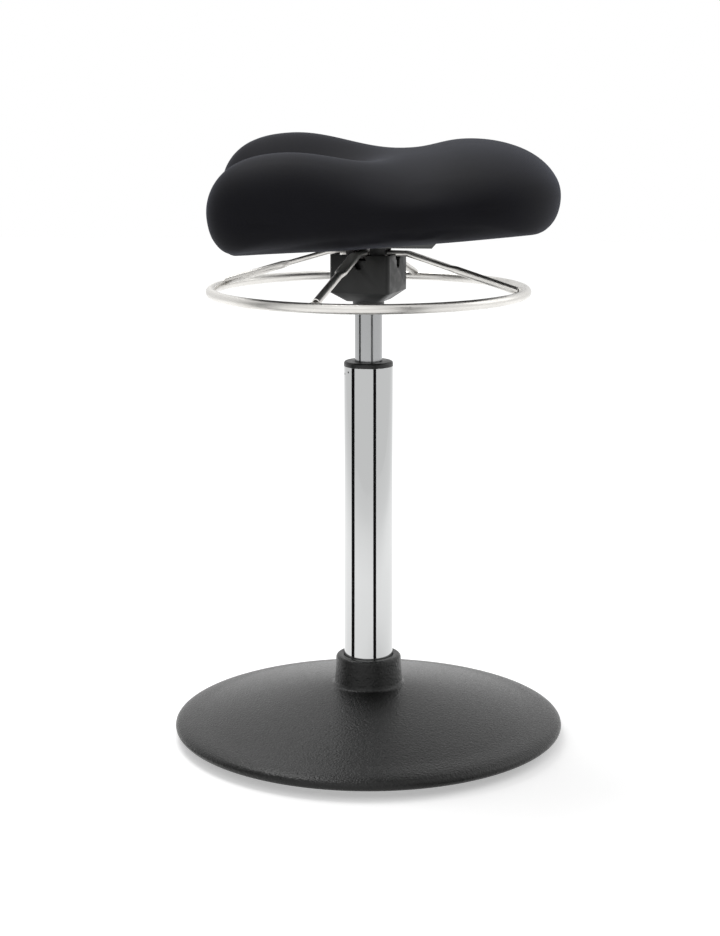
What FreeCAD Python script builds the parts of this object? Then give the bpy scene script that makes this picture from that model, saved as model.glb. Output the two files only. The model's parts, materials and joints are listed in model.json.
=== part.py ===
# Perch stool: a saddle seat on a gas lift, with a ring release and a round weighted base.
# Frame in mm: the origin is the middle of the sole on the floor, +Z is up and the seat's
# low front points to -Y. The seat is at its usual height and the ring is at rest.
import FreeCAD, Part
import math
import os
from FreeCAD import Placement, Rotation, Vector

X_AXIS = Vector(1, 0, 0)
Y_AXIS = Vector(0, 1, 0)
Z_AXIS = Vector(0, 0, 1)
ORIGIN = Vector(0, 0, 0)

# Base
base_diameter = 400.0
base_wall = 4.0
rim_foot_height = 7.5
rim_top_height = 19.5
rim_foot_inset = 12.0
rim_top_inset = 8.5
rim_widest_height = 13.5
rim_foot_lean = 25.0
rim_foot_wall = 6.0
rim_inner_drop = 3.2
dome_top_height = 53.0
dome_rise = 1.6
collar_radius = 33.6
collar_foot_radius = 34.7
collar_top_height = 84.0
collar_lip = 3.5
collar_foot_fillet = 5.0
sole_thickness = 6.0
sole_inset = 40.0
sole_edge = 2.0
base_plate_thickness = 2.0
base_plate_inset = 24.0
base_screw_inset = 30.0
base_screw_count = 6
base_screw_radius = 1.9
base_screw_length = 12.0
base_screw_head_radius = 3.7
boss_radius = 5.5
ballast_inset = 50.0
ballast_thickness = 12.0

# Column
tube_diameter = 50.0
tube_wall = 2.0
tube_foot_height = 10.0
tube_top_height = 386.0
tube_clearance = 0.25
tube_tab_count = 8
tube_tab_width = 2.4
tube_tab_height = 1.6
tube_tab_start = -15.0
stake_radius = 1.1
stake_centre_outside = 0.5
stake_depth_below_mouth = (5.0, 7.5)
stake_angles = (50.0, 69.0)
socket_wall = 4.0
socket_height = 22.0
socket_flange_radius = 48.0
socket_flange_thickness = 5.0
socket_bolt_circle = 76.0
socket_bolt_count = 4
socket_bolt_radius = 4.0
socket_bolt_head_width = 13.0
socket_bolt_head_height = 5.0
socket_bolt_bite = 10.0
bush_length = 80.0
bush_flange_height = 5.0
bush_flange_round = 2.2

# Swivel bearing in the foot of the tube
end_plate_height = 18.0
end_plate_thickness = 4.0
rod_tail_radius = 4.0
rod_tail_clearance = 0.3
race_radius = 12.0
race_thickness = 2.0
ball_radius = 1.45
ball_count = 8
ball_circle_radius = 8.2
ball_play = 0.05
cage_thickness = 1.6
cage_clearance = 0.15
washer_radius = 9.0
washer_thickness = 1.3
clip_thickness = 1.2
clip_radius = 7.0
clip_gap_degrees = 70.0
groove_depth = 0.8
swivel_gap = 0.3
rod_tail_below_clip = 3.0
bump_stop_radius = 12.0
bump_stop_height = 12.0

# Gas spring
rod_radius = 5.0
rod_top_height = 335.0
piston_height = 10.0
piston_gap = 0.3
piston_nut_width = 13.0
piston_nut_height = 4.0
piston_ring_radius = 1.15
running_clearance = 0.05
cylinder_diameter = 28.0
cylinder_wall = 1.6
cylinder_foot_height = 100.0
cone_foot_height = 455.0
cylinder_top_height = 488.0
cone_top_radius = 13.1
cylinder_end_thickness = 4.0
rod_guide_height = 14.0
rod_seal_height = 6.0
valve_body_height = 22.0
valve_pin_radius = 3.0
valve_pin_head_radius = 4.0
valve_pin_rise = 6.0
valve_pin_travel = 1.5

# Ring release
mechanism_turn = -13.5
ring_diameter = 320.0
ring_tube_radius = 5.0
ring_tube_wall = 1.0
ring_height = 463.0
bar_radius = 4.0
bar_wall = 1.0
bar_flat_width = 12.5
bar_flat_thickness = 5.5
bar_height = 502.0
bar_bend_radius = 14.0
bar_straight = 42.0
bar_flat_reach = 86.0
bar_flare = 9.0
bar_end_inset = 3.5
bar_end_rise = 4.5
lap_half_length = 15.0
lap_gap = 0.05
hub_radius = 14.0
hub_bore_radius = 9.3
hub_thickness = 2.8
button_gap = 0.3
button_radius = 9.7
button_flat_gap = 0.8

# Cover of the mechanism and the steel socket inside it
cover_width = 63.0
cover_corner = 5.0
cover_wall = 3.5
cover_top_height = 501.5
cover_skirt_height = 463.0
cover_waist_height = 453.5
cover_waist_width = 38.0
cover_collar_radius = 16.0
cover_foot_height = 449.0
cover_bore_clearance = 0.35
cover_web_height = 469.0
cover_web_thickness = 4.0
notch_width = 15.0
notch_floor_height = 496.0
slot_width = 9.5
slot_floor_height = 487.0
seat_socket_radius = 18.0
seat_socket_foot_height = 459.0
seat_socket_cup_radius = 23.0
seat_socket_cup_bore = 19.5
seat_socket_cup_height = 484.0
seat_socket_flare = 6.0
seat_socket_window = 17.0
seat_socket_window_height = 495.0

# Seat bracket
bracket_height = 509.0
bracket_sheet = 2.5
bracket_width = 66.0
bracket_front = 60.0
bracket_rear = 66.0
bracket_rear_overhang = 14.0
bracket_flange_width = 20.0
seat_screw_radius = 3.0
seat_screw_head_radius = 5.5
seat_screw_head_height = 3.2
seat_screw_length = 12.0
seat_screw_places = ((-44.0, -38.0), (44.0, -38.0), (-44.0, 52.0), (44.0, 52.0))
tee_nut_radius = 4.2
tee_nut_flange_radius = 9.0
tee_nut_flange = 1.5
tee_nut_length = 8.0

# Seat, in its own plane: x across, y to the rear, height above the underside
seat_pitch = 4.2
seat_roll = 4.5
seat_plane_height = 521.1
seat_front = 151.7
seat_rear = 198.2
seat_half_width = 150.0
lobe_centre = 88.0
lobe_height = 98.0
channel_height = 56.0
saddle_height = 78.0
rear_height = 84.0
lobe_place = -98.0
saddle_place = 52.0
rear_place = 100.0
front_equator = 42.0
rear_equator = 30.0
side_equator = 36.0
channel_notch = 25.0
edge_round = 80.0
toe_round = 28.0
toe_share = 0.9
side_power = 2.4
cover_cloth = 1.5
board_thickness = 10.0
board_play = 0.1
board_front = 108.0
board_rear = 150.0
board_half_width = 62.0
board_nose = 38.0
board_nose_notch = 10.0
board_waist = 3.0
section_shares = (0.0, 0.2, 0.4, 0.58, 0.7, 0.8, 0.88, 0.94, 0.98, 0.997)


def save(name, shape):
    """Write one piece to its own file."""
    shape.exportStep(os.path.join("parts", name + ".step"))


def disc(radius, low, high, x=0.0, y=0.0):
    """A round bar along Z between two heights."""
    return Part.makeCylinder(radius, high - low, Vector(x, y, low))


def pipe(outer, inner, low, high):
    """A round tube along Z between two heights."""
    return disc(outer, low, high).cut(disc(inner, low, high))


def slab(width, depth, low, high, x=0.0, y=0.0):
    """An upright box centred on x and y."""
    corner = Vector(x - width / 2, y - depth / 2, low)
    return Part.makeBox(width, depth, high - low, corner)


def hexagon(width, low, high, x=0.0, y=0.0):
    """A six-sided head of the given width across its flats."""
    reach = width / math.sqrt(3)
    corners = [Vector(x + reach * math.cos(math.radians(60 * k)),
                      y + reach * math.sin(math.radians(60 * k)), low) for k in range(7)]
    return Part.Face(Part.makePolygon(corners)).extrude(Vector(0, 0, high - low))


def turned_by(shape, angle, axis=Z_AXIS, centre=ORIGIN):
    """A copy of a shape, turned about an axis."""
    copy = shape.copy()
    copy.rotate(centre, axis, angle)
    return copy


def in_a_circle(shape, count, start=0.0):
    """Copies of a shape, evenly spaced about Z."""
    return [turned_by(shape, start + 360.0 * k / count) for k in range(count)]


def fused(shapes):
    """One solid made of several that touch or overlap."""
    return shapes[0].multiFuse(shapes[1:]).removeSplitter()


def arc_middle(start, tangent, end):
    """The middle of the arc that leaves start along tangent and reaches end."""
    chord = (end[0] - start[0], end[1] - start[1])
    turn = math.atan2(tangent[0] * chord[1] - tangent[1] * chord[0],
                      tangent[0] * chord[0] + tangent[1] * chord[1])
    sag = math.tan(turn / 2) / 2
    return ((start[0] + end[0]) / 2 + chord[1] * sag,
            (start[1] + end[1]) / 2 - chord[0] * sag)


def two_arcs(start, leaving, end, arriving):
    """Two arcs that join two points along the two given directions."""
    gap = (end[0] - start[0], end[1] - start[1])
    both = (leaving[0] + arriving[0], leaving[1] + arriving[1])
    along = gap[0] * both[0] + gap[1] * both[1]
    length = gap[0] ** 2 + gap[1] ** 2
    bend = 2 * (1 - leaving[0] * arriving[0] - leaving[1] * arriving[1])
    if bend > 1e-6:
        reach = (math.sqrt(along ** 2 + bend * length) - along) / bend
    else:
        reach = length / (2 * along)
    joint = ((start[0] + end[0] + reach * (leaving[0] - arriving[0])) / 2,
             (start[1] + end[1] + reach * (leaving[1] - arriving[1])) / 2)
    back = arc_middle(end, (-arriving[0], -arriving[1]), joint)
    return [(start, arc_middle(start, leaving, joint), joint), (joint, back, end)]


def smooth_wire(stations, place):
    """A closed wire through points and directions; place turns a 2-D point into space."""
    edges = []
    for here, there in zip(stations, stations[1:] + stations[:1]):
        (start, leaving), (end, arriving) = here, there
        chord = Vector(end[0] - start[0], end[1] - start[1], 0)
        straight = abs(chord.x * leaving[1] - chord.y * leaving[0]) < 1e-6
        if straight:
            edges.append(Part.LineSegment(place(start), place(end)).toShape())
            continue
        for points in two_arcs(start, leaving, end, arriving):
            edges.append(Part.Arc(*[place(p) for p in points]).toShape())
    return Part.Wire(edges)


def turned_profile(pieces):
    """A solid turned about Z from (radius, height) runs: 2 points a line, 3 points an arc."""
    edges = []
    for piece in pieces:
        points = [Vector(r, 0, z) for r, z in piece]
        if len(points) == 2:
            edges.append(Part.LineSegment(*points).toShape())
        else:
            edges.append(Part.Arc(*points).toShape())
    return Part.Face(Part.Wire(edges)).revolve(ORIGIN, Z_AXIS, 360)


base_radius = base_diameter / 2
base_screw_place = base_radius - base_screw_inset
tube_radius = tube_diameter / 2
tube_bore = tube_radius - tube_wall
rim_top_radius = base_radius - rim_top_inset
dome_foot_radius = collar_foot_radius + collar_foot_fillet
plate_low = sole_thickness
plate_high = plate_low + base_plate_thickness
ballast_high = plate_high + ballast_thickness
socket_flange_high = ballast_high + socket_flange_thickness
socket_high = ballast_high + socket_flange_thickness + socket_height


def dome_height(radius):
    """Outer height of the dome at a radius, without its slight crown."""
    share = (rim_top_radius - radius) / (rim_top_radius - dome_foot_radius)
    return rim_top_height + share * (dome_top_height - rim_top_height)


def base_cover():
    """Shell of the base: a rounded rim, a shallow dome and a collar round the column."""
    foot = base_radius - rim_foot_inset
    foot_inner = foot - rim_foot_wall
    widest = (base_radius, rim_widest_height)
    rim_top = (rim_top_radius, rim_top_height)
    dome_top = (dome_foot_radius, dome_top_height)
    dome_middle_radius = (rim_top_radius + dome_foot_radius) / 2
    dome_middle = (dome_middle_radius, dome_height(dome_middle_radius) + dome_rise)
    slope = math.atan2(dome_top_height - rim_top_height, rim_top_radius - dome_foot_radius)
    upward = (-math.cos(slope), math.sin(slope))
    lean = math.radians(rim_foot_lean)
    foot_leaves = (math.cos(lean), math.sin(lean))
    rim = two_arcs((foot, rim_foot_height), foot_leaves, widest, (0, 1))
    rim += two_arcs(widest, (0, 1), rim_top, upward)
    collar_foot = (collar_foot_radius, dome_top_height + collar_foot_fillet)
    fillet = (dome_top, arc_middle(dome_top, upward, collar_foot), collar_foot)
    lip_low = (collar_radius, collar_top_height - collar_lip)
    lip_top = (collar_radius - collar_lip, collar_top_height)
    lip = (lip_low, arc_middle(lip_low, (0, 1), lip_top), lip_top)
    bore = tube_radius + tube_clearance
    bore_foot = dome_top_height - base_wall
    inner_rim = (rim_top_radius - base_wall, rim_top_height - rim_inner_drop)
    roof_middle = (dome_middle_radius, dome_middle[1] - base_wall)
    roof_top = (dome_foot_radius, bore_foot)
    shell = turned_profile(rim + [
        (rim_top, dome_middle, dome_top), fillet, (collar_foot, lip_low), lip,
        (lip_top, (bore, collar_top_height)), ((bore, collar_top_height), (bore, bore_foot)),
        ((bore, bore_foot), roof_top), (roof_top, roof_middle, inner_rim),
        (inner_rim, (foot_inner, rim_foot_height)),
        ((foot_inner, rim_foot_height), (foot, rim_foot_height))])
    boss_top = dome_height(base_screw_place) - base_wall / 2
    boss = disc(boss_radius, plate_high, boss_top, base_screw_place)
    hole = disc(base_screw_radius, plate_high, plate_low + base_screw_length, base_screw_place)
    shell = shell.multiFuse(in_a_circle(boss, base_screw_count))
    return shell.cut(Part.makeCompound(in_a_circle(hole, base_screw_count)))


def base_screw():
    """Countersunk screw of the base plate, standing at its place on +X."""
    shank = disc(base_screw_radius, plate_low, plate_low + base_screw_length)
    head = Part.makeCone(base_screw_head_radius, base_screw_radius, base_plate_thickness,
                         Vector(0, 0, plate_low))
    screw = fused([shank, head])
    screw.translate(Vector(base_screw_place, 0, 0))
    return screw


def socket_bolt():
    """Hexagon bolt that holds the column socket to the ballast, at its place on +X."""
    place = socket_bolt_circle / 2
    head = hexagon(socket_bolt_head_width, socket_flange_high,
                   socket_flange_high + socket_bolt_head_height, place)
    shank = disc(socket_bolt_radius, ballast_high - socket_bolt_bite, socket_flange_high, place)
    return fused([head, shank])


def make_base():
    """The base: sole, plate, ballast, socket and the moulded shell."""
    sole = disc(base_radius - sole_inset, 0, sole_thickness)
    foot_edge = [e for e in sole.Edges if len(e.Vertexes) == 1 and e.CenterOfMass.z < 0.01]
    save("floor_pad", sole.makeChamfer(sole_edge, foot_edge))
    screws = Part.makeCompound(in_a_circle(base_screw(), base_screw_count))
    save("base_screws", screws)
    plate = disc(base_radius - base_plate_inset, plate_low, plate_high)
    save("base_plate", plate.cut(screws))
    bolts = Part.makeCompound(in_a_circle(socket_bolt(), socket_bolt_count, 45))
    save("socket_bolts", bolts)
    well = tube_radius + tube_clearance
    ballast = disc(base_radius - ballast_inset, plate_high, ballast_high)
    save("ballast_disc", ballast.cut(disc(well, plate_high, ballast_high)).cut(bolts))
    flange = disc(socket_flange_radius, ballast_high, socket_flange_high)
    sleeve = disc(tube_radius + socket_wall, ballast_high, socket_high)
    socket = fused([flange, sleeve]).cut(disc(tube_radius, ballast_high, socket_high))
    save("column_socket", socket.cut(bolts))
    save("base_cover", base_cover())


def stake_mark(angle, depth):
    """A small round dent in the outside of the tube near its mouth."""
    turn = math.radians(angle)
    reach = tube_radius + stake_centre_outside
    centre = Vector(reach * math.cos(turn), reach * math.sin(turn), tube_top_height - depth)
    return Part.makeSphere(stake_radius, centre)


def tube_tabs():
    """Small tabs of the tube's mouth that key into the bush."""
    tab_top = tube_top_height + tube_tab_height
    tab = slab(tube_wall * 2, tube_tab_width, tube_top_height, tab_top, tube_radius)
    ring = pipe(tube_radius, tube_bore + tube_wall / 2, tube_top_height, tab_top)
    return [t.common(ring) for t in in_a_circle(tab, tube_tab_count, tube_tab_start)]


def make_column():
    """The chromed tube and the plastic bush that guides the gas cylinder."""
    tube = pipe(tube_radius, tube_bore, tube_foot_height, tube_top_height)
    tube = tube.multiFuse(tube_tabs())
    dents = [stake_mark(-a, d) for a, d in zip(stake_angles, stake_depth_below_mouth)]
    save("outer_tube", tube.cut(Part.makeCompound(dents)))
    flange_high = tube_top_height + bush_flange_height
    flange = disc(tube_radius, tube_top_height, flange_high)
    top_edge = [e for e in flange.Edges if len(e.Vertexes) == 1
                and e.CenterOfMass.z > flange_high - 0.01]
    flange = flange.makeFillet(bush_flange_round, top_edge)
    sleeve = disc(tube_bore, flange_high - bush_length, tube_top_height)
    bore = disc(cylinder_diameter / 2 + running_clearance, flange_high - bush_length, flange_high)
    bush = fused([flange, sleeve]).cut(bore)
    save("guide_bush", bush.cut(Part.makeCompound(tube_tabs())))


def make_bearing():
    """The swivel bearing on the end plate, and what keeps the rod in it."""
    plate_top = end_plate_height + end_plate_thickness
    race_low = plate_top + race_thickness
    race_high = race_low + 2 * (ball_radius + ball_play)
    hole = rod_tail_radius + rod_tail_clearance
    save("tube_end_plate", pipe(tube_bore, hole, end_plate_height, plate_top))
    save("lower_race", pipe(race_radius, hole, plate_top, race_low))
    save("upper_race", pipe(race_radius, rod_tail_radius, race_high, race_high + race_thickness))
    ball_height = (race_low + race_high) / 2
    ball = Part.makeSphere(ball_radius, Vector(ball_circle_radius, 0, ball_height))
    save("bearing_balls", Part.makeCompound(in_a_circle(ball, ball_count)))
    pocket = disc(ball_radius + cage_clearance, race_low, race_high, ball_circle_radius)
    cage = pipe(race_radius - swivel_gap, hole, ball_height - cage_thickness / 2,
                ball_height + cage_thickness / 2)
    save("ball_cage", cage.cut(Part.makeCompound(in_a_circle(pocket, ball_count))))
    washer_high = end_plate_height - swivel_gap
    washer_low = washer_high - washer_thickness
    save("rod_washer", pipe(washer_radius, rod_tail_radius, washer_low, washer_high))
    clip_low = washer_low - clip_thickness
    clip = pipe(clip_radius, rod_tail_radius - groove_depth, clip_low, washer_low)
    opening = Part.makeCylinder(clip_radius, clip_thickness, Vector(0, 0, clip_low), Z_AXIS,
                                clip_gap_degrees)
    save("rod_clip", clip.cut(turned_by(opening, -clip_gap_degrees / 2)))
    shoulder = race_high + race_thickness
    tail_low = clip_low - rod_tail_below_clip
    tail = disc(rod_tail_radius, tail_low, shoulder)
    groove = pipe(rod_radius, rod_tail_radius - groove_depth, clip_low, washer_low)
    stud_high = rod_top_height + piston_height + piston_nut_height
    rod = fused([tail.cut(groove), disc(rod_radius, shoulder, rod_top_height),
                 disc(rod_tail_radius, rod_top_height, stud_high)])
    save("piston_rod", rod)
    stop = pipe(bump_stop_radius, rod_radius, shoulder, shoulder + bump_stop_height)
    save("bump_stop", stop)


def make_gas_spring():
    """Piston, cylinder, its two ends and the release valve."""
    bore = cylinder_diameter / 2 - cylinder_wall
    piston_high = rod_top_height + piston_height
    groove_middle = (rod_top_height + piston_high) / 2
    groove_half = piston_ring_radius + running_clearance
    seal_outer = bore - running_clearance
    seal_centre = seal_outer - piston_ring_radius
    groove = pipe(bore, seal_centre - groove_half, groove_middle - groove_half,
                  groove_middle + groove_half)
    piston = pipe(bore - piston_gap, rod_tail_radius, rod_top_height, piston_high)
    save("piston", piston.cut(groove))
    ring = Part.makeTorus(seal_centre, piston_ring_radius, Vector(0, 0, groove_middle))
    save("piston_seal", ring)
    nut = hexagon(piston_nut_width, piston_high, piston_high + piston_nut_height)
    save("piston_nut", nut.cut(disc(rod_tail_radius, piston_high,
                                    piston_high + piston_nut_height)))
    radius = cylinder_diameter / 2
    cap_low = cylinder_top_height - cylinder_end_thickness
    body = disc(radius, cylinder_foot_height, cone_foot_height)
    cone = Part.makeCone(radius, cone_top_radius, cylinder_top_height - cone_foot_height,
                         Vector(0, 0, cone_foot_height))
    hollow = disc(bore - (radius - cone_top_radius), cone_foot_height, cap_low)
    lower_hollow = disc(bore, cylinder_foot_height, cone_foot_height)
    pin_hole = disc(valve_pin_head_radius + swivel_gap, cap_low, cylinder_top_height)
    cylinder = fused([body, cone]).cut(hollow).cut(lower_hollow).cut(pin_hole)
    save("gas_cylinder", cylinder)
    guide_high = cylinder_foot_height + rod_guide_height
    rod_bore = rod_radius + running_clearance
    save("rod_guide", pipe(bore, rod_bore, cylinder_foot_height, guide_high))
    save("rod_seal", pipe(bore, rod_bore, guide_high, guide_high + rod_seal_height))
    valve_bore = valve_pin_radius + running_clearance
    valve_outer = bore - (radius - cone_top_radius)
    save("valve_body", pipe(valve_outer, valve_bore, cap_low - valve_body_height, cap_low))
    pin_low = cap_low - valve_body_height + valve_pin_travel + swivel_gap
    pin_high = cylinder_top_height + valve_pin_rise
    head_low = cap_low + valve_pin_travel + swivel_gap
    save("valve_pin", fused([disc(valve_pin_radius, pin_low, head_low),
                             disc(valve_pin_head_radius, head_low, pin_high)]))


bar_end_reach = ring_diameter / 2 - bar_end_inset
bar_end_height = ring_height + bar_end_rise
bar_slope = math.atan2(bar_height - bar_end_height, bar_end_reach - bar_straight)


def flat_section(thickness, width):
    """Face of a flattened tube, square to the bar, centred on the origin and facing +X."""
    half = thickness / 2
    reach = width / 2 - half
    lower, upper = Vector(0, -reach, -half), Vector(0, reach, -half)
    far_lower, far_upper = Vector(0, reach, half), Vector(0, -reach, half)
    edges = [Part.LineSegment(lower, upper).toShape(),
             Part.Arc(upper, Vector(0, reach + half, 0), far_lower).toShape(),
             Part.LineSegment(far_lower, far_upper).toShape(),
             Part.Arc(far_upper, Vector(0, -reach - half, 0), lower).toShape()]
    return Part.Wire(edges)


def flare(inset):
    """The short stretch where the flattened tube turns round, from x = 0 to the flare's length."""
    narrow = flat_section(bar_flat_thickness - 2 * inset, bar_flat_width - 2 * inset)
    radius = bar_radius - inset
    corners = [math.radians(a) for a in (-135, -45, 45, 135)]
    round_edges = []
    for k, start in enumerate(corners):
        stop = start + math.pi / 2
        points = [Vector(bar_flare, radius * math.cos(t), radius * math.sin(t))
                  for t in (start, (start + stop) / 2, stop)]
        round_edges.append(Part.Arc(*points).toShape())
    return Part.makeLoft([narrow, Part.Wire(round_edges)], True, True)


def half_bar(inset):
    """One arm of a cross bar along +X from the middle, as a filled tube."""
    section = Part.Face(flat_section(bar_flat_thickness - 2 * inset,
                                     bar_flat_width - 2 * inset))
    slope = math.degrees(bar_slope)
    tangent = bar_bend_radius * math.tan(bar_slope / 2)
    level = section.extrude(Vector(bar_straight - tangent, 0, 0))
    start = section.copy()
    start.translate(Vector(bar_straight - tangent, 0, 0))
    bend_centre = Vector(bar_straight - tangent, 0, -bar_bend_radius)
    bend = start.revolve(bend_centre, Y_AXIS, slope)
    sloped_length = bar_flat_reach - bar_straight - tangent
    outer_length = (bar_end_reach - bar_flat_reach) / math.cos(bar_slope) + bar_radius
    sloped = section.extrude(Vector(sloped_length, 0, 0))
    sloped.translate(Vector(tangent, 0, 0))
    opening = flare(inset)
    opening.translate(Vector(tangent + sloped_length, 0, 0))
    round_start = Vector(tangent + sloped_length + bar_flare, 0, 0)
    outer = Part.makeCylinder(bar_radius - inset, outer_length, round_start, X_AXIS)
    arm = fused([sloped, opening, outer])
    arm.rotate(ORIGIN, Y_AXIS, slope)
    arm.translate(Vector(bar_straight, 0, 0))
    return fused([level, bend, arm])


def cross_bar(upper):
    """One bent bar along X: hollow, pressed to half its thickness where the two bars cross."""
    arm = half_bar(0).cut(half_bar(bar_wall))
    bar = arm.fuse(turned_by(arm, 180))
    lap = slab(2 * lap_half_length, 2 * bar_flat_width, -bar_flat_thickness, bar_flat_thickness)
    low, high = (lap_gap, bar_flat_thickness / 2) if upper else (-bar_flat_thickness / 2, 0)
    tongue = slab(2 * lap_half_length, bar_flat_width, low, high)
    bar = bar.cut(lap).fuse(tongue)
    bar.translate(Vector(0, 0, bar_height))
    reach = 2 * bar_end_reach
    bar = bar.common(slab(reach, 4 * bar_flat_width, ring_height - ring_tube_radius,
                          bar_height + bar_flat_thickness))
    solid_ring = Part.makeTorus(ring_diameter / 2, ring_tube_radius, Vector(0, 0, ring_height))
    return bar.cut(solid_ring).removeSplitter()


def make_ring():
    """The release ring, the two bars across it, their hub and the button under the hub."""
    centre = Vector(0, 0, ring_height)
    ring = Part.makeTorus(ring_diameter / 2, ring_tube_radius, centre)
    hollow = Part.makeTorus(ring_diameter / 2, ring_tube_radius - ring_tube_wall, centre)
    save("release_ring", ring.cut(hollow))
    save("cross_bar_long", turned_by(cross_bar(False), 90 + mechanism_turn))
    save("cross_bar_short", turned_by(cross_bar(True), mechanism_turn))
    hub_high = bar_height - bar_flat_thickness / 2
    save("ring_hub", pipe(hub_radius, hub_bore_radius, hub_high - hub_thickness, hub_high))
    pin_high = cylinder_top_height + valve_pin_rise
    ball_height = pin_high + button_gap + button_radius
    ball = Part.makeSphere(button_radius, Vector(0, 0, ball_height))
    cap = disc(button_radius, pin_high, hub_high - button_flat_gap)
    save("pressure_button", ball.common(cap))


def rounded_square(width, corner, height):
    """A square wire with round corners at a height."""
    half = width / 2
    flat = half - corner
    stations = []
    for k in range(4):
        turn = math.radians(90 * k)
        along = (-math.sin(turn), math.cos(turn))
        outward = (math.cos(turn), math.sin(turn))
        for side in (-flat, flat):
            point = (half * outward[0] + side * along[0], half * outward[1] + side * along[1])
            stations.append((point, along))
    return smooth_wire(stations, lambda p: Vector(p[0], p[1], height))


def square_block(width, corner, low, high, top_width=None):
    """An upright block with round corners, which may taper."""
    lower = rounded_square(width, corner, low)
    upper = rounded_square(top_width or width, corner, high)
    return Part.makeLoft([lower, upper], True, True)


def make_mechanism_cover():
    """Moulded cover: a square box that narrows to a collar, with a slot in each wall."""
    outer = fused([
        square_block(cover_width, cover_corner, cover_skirt_height, cover_top_height),
        square_block(cover_waist_width, cover_corner, cover_waist_height, cover_skirt_height,
                     cover_width),
        disc(cover_collar_radius, cover_foot_height, cover_waist_height)])
    inner_width = cover_width - 2 * cover_wall
    hollow = fused([
        square_block(inner_width, cover_corner, cover_skirt_height, cover_top_height),
        square_block(cover_waist_width - 2 * cover_wall, cover_corner,
                     cover_waist_height + cover_wall, cover_skirt_height, inner_width)])
    web = square_block(inner_width, cover_corner, cover_web_height,
                       cover_web_height + cover_web_thickness)
    web = web.cut(disc(seat_socket_radius, cover_foot_height, cover_top_height))
    bore = cylinder_diameter / 2 + cover_bore_clearance
    cover = outer.cut(hollow.cut(web)).cut(disc(bore, cover_foot_height, cover_skirt_height))
    for turn in (0, 90):
        notch = slab(2 * cover_width, notch_width, notch_floor_height, cover_top_height)
        slot = slab(2 * cover_width, slot_width, slot_floor_height + slot_width / 2,
                    cover_top_height)
        end = Part.makeCylinder(slot_width / 2, 2 * cover_width,
                                Vector(-cover_width, 0, slot_floor_height + slot_width / 2),
                                X_AXIS)
        cover = cover.cut(turned_by(fused([notch, slot, end]), turn))
    save("mechanism_cover", turned_by(cover, mechanism_turn))


def make_seat_socket():
    """Steel socket on the cylinder's cone; its four legs pass between the bars to the bracket."""
    share = (seat_socket_foot_height - cone_foot_height) / (cylinder_top_height
                                                           - cone_foot_height)
    cylinder_radius = cylinder_diameter / 2
    foot_bore = cylinder_radius - share * (cylinder_radius - cone_top_radius)
    socket = turned_profile([
        ((foot_bore, seat_socket_foot_height), (seat_socket_radius, seat_socket_foot_height)),
        ((seat_socket_radius, seat_socket_foot_height),
         (seat_socket_radius, seat_socket_cup_height - seat_socket_flare)),
        ((seat_socket_radius, seat_socket_cup_height - seat_socket_flare),
         (seat_socket_cup_radius, seat_socket_cup_height)),
        ((seat_socket_cup_radius, seat_socket_cup_height),
         (seat_socket_cup_radius, bracket_height)),
        ((seat_socket_cup_radius, bracket_height), (seat_socket_cup_bore, bracket_height)),
        ((seat_socket_cup_bore, bracket_height), (seat_socket_cup_bore, cylinder_top_height)),
        ((seat_socket_cup_bore, cylinder_top_height), (cone_top_radius, cylinder_top_height)),
        ((cone_top_radius, cylinder_top_height), (foot_bore, seat_socket_foot_height))])
    for turn in (0, 90):
        window = slab(3 * seat_socket_cup_radius, seat_socket_window, seat_socket_window_height,
                      bracket_height)
        socket = socket.cut(turned_by(window, turn))
    save("seat_socket", turned_by(socket, mechanism_turn))


board_low = cover_cloth + board_play
board_top = board_low + board_thickness
seat_place = Placement(Vector(0, 0, seat_plane_height), Rotation(X_AXIS, seat_pitch))
seat_place = seat_place.multiply(Placement(ORIGIN, Rotation(Y_AXIS, seat_roll)))


def on_seat(shape):
    """A copy of a shape that was made in the seat's own plane, set in its place."""
    copy = shape.copy()
    copy.Placement = seat_place.multiply(copy.Placement)
    return copy


def make_bracket():
    """Folded steel channel, wedge-shaped, with two flanges under the seat board."""
    length = bracket_front + bracket_rear + bracket_rear_overhang
    middle = (bracket_rear + bracket_rear_overhang - bracket_front) / 2
    tall = 2 * seat_plane_height - 2 * bracket_height + length
    outer = slab(bracket_width, length, bracket_height, bracket_height + tall, 0, middle)
    inner = slab(bracket_width - 2 * bracket_sheet, length, bracket_height + bracket_sheet,
                 bracket_height + tall, 0, middle)
    above = on_seat(slab(2 * length, 2 * length, -bracket_sheet, tall, 0, middle))
    channel = outer.cut(inner).cut(above)
    tip = bracket_rear + bracket_rear_overhang
    tip_height = seat_plane_height + tip * math.tan(math.radians(seat_pitch)) - bracket_sheet
    rear_low = Vector(0, bracket_rear, bracket_height)
    corners = [rear_low, Vector(0, tip + tall, bracket_height),
               Vector(0, tip + tall, tip_height), Vector(0, tip, tip_height), rear_low]
    end_cut = Part.Face(Part.makePolygon(corners)).extrude(Vector(bracket_width * 2, 0, 0))
    end_cut.translate(Vector(-bracket_width, 0, 0))
    channel = channel.cut(end_cut)
    flange_total = bracket_width + 2 * bracket_flange_width
    flange = on_seat(slab(flange_total, length, -bracket_sheet, 0, 0, middle))
    opening = on_seat(slab(bracket_width - 2 * bracket_sheet, length, -bracket_sheet, 0, 0,
                           middle))
    bracket = channel.fuse(flange.cut(opening)).removeSplitter()
    save("seat_bracket", bracket.cut(seat_hardware("hole")))


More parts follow.
